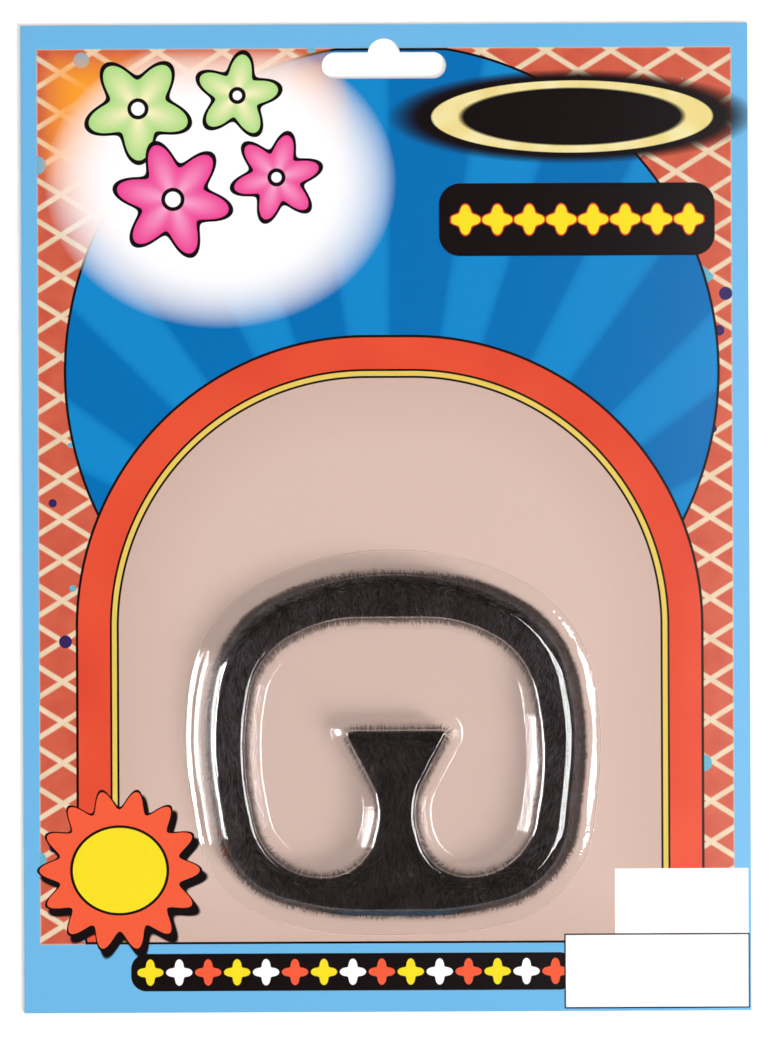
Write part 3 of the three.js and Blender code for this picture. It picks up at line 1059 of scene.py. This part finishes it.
# %% Print
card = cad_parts["backing_card"]
card_thickness = card_box[1].z
card_material, card_tree, card_shader = new_material("printed_board", 0.8, 0.08)
work = partial(calculate, card_tree)
card_places = add_node(card_tree, "ShaderNodeTexCoord").outputs["Object"]
in_mm = add_node(card_tree, "ShaderNodeVectorMath", operation="SCALE")
connect(card_tree, card_places, in_mm.inputs[0])
connect(card_tree, 1 / MM, in_mm.inputs["Scale"])
place = in_mm.outputs[0]


def flower(across, up, radius, petals=0, depth=0, turn=0, stretch=1):
    values = (across, up, radius, petals, depth, turn, stretch)
    return use_group(card_tree, flower_group, [place, *(float(value) for value in values)])


def panel(left, low, right, high, rounding):
    values = ((left + right) / 2, (low + high) / 2, (right - left) / 2, (high - low) / 2, rounding)
    return use_group(card_tree, panel_group, [place, *(float(value) for value in values)])


def in_row(across, up, pitch, radius, petals, depth):
    """Inside of a row of small flowers, and each one's number in the row."""
    split = add_node(card_tree, "ShaderNodeSeparateXYZ", [place]).outputs
    start = across - pitch / 2
    number = work("FLOOR", work("DIVIDE", work("SUBTRACT", split["X"], start), pitch))
    local = work("WRAP", split["X"], start + pitch, start)
    repeated = add_node(card_tree, "ShaderNodeCombineXYZ", [local, split["Y"]]).outputs[0]
    values = (across, up, radius, petals, depth, 0, 1)
    return use_group(card_tree, flower_group, [repeated, *(float(value) for value in values)]), number


def rays(across, up, count, turn=0):
    return use_group(card_tree, rays_group, [place, float(across), float(up), float(count), float(turn)])


def lay(below, inside, fill, line=BLACK, width=0.6, softness=0.12):
    """Lays ink on the print so far: a fill with a line along its edge."""
    return use_group(card_tree, ink_group, [below, inside, fill, line, float(width), float(softness)])


def both(first, second):
    """Inside two motifs at once."""
    return work("MINIMUM", first, second)


def in_field(inside):
    """The part of a motif that lies inside the card's frame."""
    return both(field, inside)


def wider(inside, by):
    """A motif whose edge lies further out by so many mm."""
    return work("ADD", inside, by)


def cloud(scale, detail=2.0):
    """A soft random pattern over the card, from 0 to 1, with patches of about this many mm."""
    return noise_pattern(card_tree, place, 1 / scale, detail)


def dots(pitch, radius, shift):
    """Inside of scattered round dots of paint, about this pitch apart."""
    moved = add_node(card_tree, "ShaderNodeVectorMath", [place, (shift, shift, 0.0)], operation="ADD")
    cells = add_node(card_tree, "ShaderNodeTexVoronoi", voronoi_dimensions="2D")
    connect(card_tree, moved.outputs[0], cells.inputs["Vector"])
    cells.inputs["Scale"].default_value = 1 / pitch
    size = add_node(card_tree, "ShaderNodeSeparateColor", [cells.outputs["Color"]]).outputs[0]
    reach = work("MULTIPLY_ADD", size, radius * 2, -radius)
    return work("MULTIPLY_ADD", cells.outputs["Distance"], -pitch, reach)


# %% Field, lattice and discs
EDGE = (-80.5, -98.5, 80.4, 108.9)
TAN_ARCH = (-62.5, -140.0, 64.0, 33.0, 58.0)
BLUE_DISC = (1.5, 34.0, 76.0)

field = panel(*EDGE, 0.2)
lattice = use_group(card_tree, lattice_group, [place, 15.0, 9.4])
brick = blend_colours(card_tree, cloud(5), BRICK, LIGHT_BRICK)
cream = blend_colours(card_tree, cloud(3), CREAM, ink(214, 186, 150))
drawn = lay(SKY_BLUE, field, cream, cream, 0.0)
drawn = lay(drawn, in_field(wider(lattice, -0.55)), brick, brick, 0.0, 0.5)
drawn = lay(drawn, in_field(dots(11.0, 2.3, 3.0)), TEAL, TEAL, 0.0)
drawn = lay(drawn, in_field(dots(17.0, 1.6, 40.0)), NAVY, NAVY, 0.0)

blue_rays = rays(BLUE_DISC[0], BLUE_DISC[1] - 60, 20)
blue = lay(DEEP_BLUE, blue_rays, MID_BLUE, MID_BLUE, 0.0, 2.5)
drawn = lay(drawn, in_field(flower(*BLUE_DISC)), blue)
band = blend_colours(card_tree, cloud(30, 1.0), RED, ORANGE_RED)
whole_arch = panel(*TAN_ARCH)
arch = in_field(whole_arch)
drawn = lay(drawn, in_field(wider(whole_arch, 9.5)), band)
drawn = lay(drawn, in_field(wider(whole_arch, 1.6)), GOLD, BLACK, 0.5)
airbrush = map_range(card_tree, arch, 0.0, 16.0, 1.0, 0.0)
tan = blend_colours(card_tree, airbrush, TAN, DEEP_TAN)
drawn = lay(drawn, arch, tan, BLACK, 0.5)

# %% Flowers, plate, seal and panels
FLOWERS = [
    (-57, 95, 10.5, 5, 2.6, 0.3, GREEN, PALE_GOLD),
    (-34, 98, 8.5, 5, 2.2, 1.1, GREEN, PALE_GOLD),
    (-49, 74, 11.5, 6, 2.8, 0.2, MAGENTA, PINK),
    (-25, 79, 9.0, 6, 2.2, 0.8, MAGENTA, PINK),
]
drawn = lay(drawn, in_field(flower(-45, 92, 33, stretch=1.15)), ORANGE, ORANGE, 0.0, 12.0)
drawn = lay(drawn, in_field(flower(-38, 78, 34, stretch=1.2)), WHITE, WHITE, 0.0, 14.0)
for across, up, size, petals, depth, turn, dark, pale in FLOWERS:
    petal_inside = flower(across, up, size, petals, depth, turn)
    shading = map_range(card_tree, petal_inside, 0.0, size)
    petal_ink = blend_colours(card_tree, shading, dark, pale)
    drawn = lay(drawn, petal_inside, petal_ink, BLACK, 1.1)
    drawn = lay(drawn, flower(across, up, size * 0.24), WHITE, BLACK, 0.9)

plate = flower(43.5, 92.8, 8.8, stretch=3.9)
drawn = lay(drawn, wider(plate, 2.2), BLACK, BLACK, 0.0, 2.0)
plate_ink = blend_colours(card_tree, cloud(7, 1.0), GOLD, PALE_GOLD)
drawn = lay(drawn, plate, plate_ink, BLACK, 0.4)
drawn = lay(drawn, wider(plate, -2.0), BLACK, BLACK, 0.0, 0.4)
drawn = lay(drawn, panel(12.5, 60.5, 76.5, 77.5, 5.0), BLACK)
bar_row, _ = in_row(18.7, 69.0, 7.4, 3.2, 4, 0.7)
drawn = lay(drawn, both(panel(15.0, 60.5, 74.2, 77.5, 0.2), bar_row), YELLOW, RED, 0.35)

drawn = lay(drawn, flower(-61.0, -82.8, 17.5, 14, 2.2, 0), BLACK, BLACK, 0.0, 0.8)
drawn = lay(drawn, flower(-62.0, -81.3, 17.0, 14, 2.2, 0), ORANGE_RED)
drawn = lay(drawn, flower(-62.0, -81.3, 10.5, stretch=1.1), YELLOW)
drawn = lay(drawn, panel(-59.5, -109.4, 43.3, -100.6, 3.6), BLACK)
low_row, number = in_row(-55.0, -105.0, 6.7, 2.7, 4, 0.7)
third = work("MODULO", number, 3.0)
row_ink = blend_colours(card_tree, work("GREATER_THAN", third, 0.5), YELLOW, WHITE)
row_ink = blend_colours(card_tree, work("GREATER_THAN", third, 1.5), row_ink, ORANGE_RED)
row_bounds = panel(-58.3, -110.0, 42.2, -100.0, 0.2)
drawn = lay(drawn, both(row_bounds, low_row), row_ink, BLACK, 0.3)
drawn = lay(drawn, panel(52.6, -96.4, 83.6, -81.3, 0.2), WHITE, WHITE, 0.0)
drawn = lay(drawn, panel(40.8, -113.8, 83.9, -96.3, 0.3), WHITE, BLACK, 0.35)

# %% [markdown]
# Only the face is printed, so a point's height tells print from board. Real film is wavier than this
# one and mirrors the print less, so the card is darker for the rays that the film mirrors.

# %% Board under the print
BOARD, BOARD_GRAIN = ink(236, 234, 228), ink(214, 210, 202)
BOARD_ROUGHNESS, PRINT_ROUGHNESS = 0.8, 0.13
MIRROR_DIMMING = 0.85
grain = cloud(0.35, 4.0)
board = blend_colours(card_tree, grain, BOARD, BOARD_GRAIN)
height_up = add_node(card_tree, "ShaderNodeSeparateXYZ", [card_places]).outputs["Z"]
on_face = work("GREATER_THAN", height_up, card_thickness - 0.01 * MM)
print_grain = blend_colours(card_tree, work("MULTIPLY", grain, 0.10), drawn, BLACK)
card_colour = blend_colours(card_tree, on_face, board, print_grain)
ray_kind = card_tree.nodes.new("ShaderNodeLightPath").outputs
mirrored = work("MULTIPLY", ray_kind["Is Reflection Ray"], ray_kind["Is Glossy Ray"])
dimmed = blend_colours(card_tree, work("MULTIPLY", mirrored, MIRROR_DIMMING), card_colour, BLACK)
connect(card_tree, dimmed, card_shader.inputs["Base Color"])
gloss = map_range(card_tree, on_face, 0.0, 1.0, BOARD_ROUGHNESS, PRINT_ROUGHNESS)
connect(card_tree, gloss, card_shader.inputs["Roughness"])
surface = bump(card_tree, cloud(6, 3.0), 0.2, 0.05 * MM)
connect(card_tree, surface, card_shader.inputs["Normal"])
card.data.materials.clear()
card.data.materials.append(card_material)
print("print's nodes:", len(card_tree.nodes))
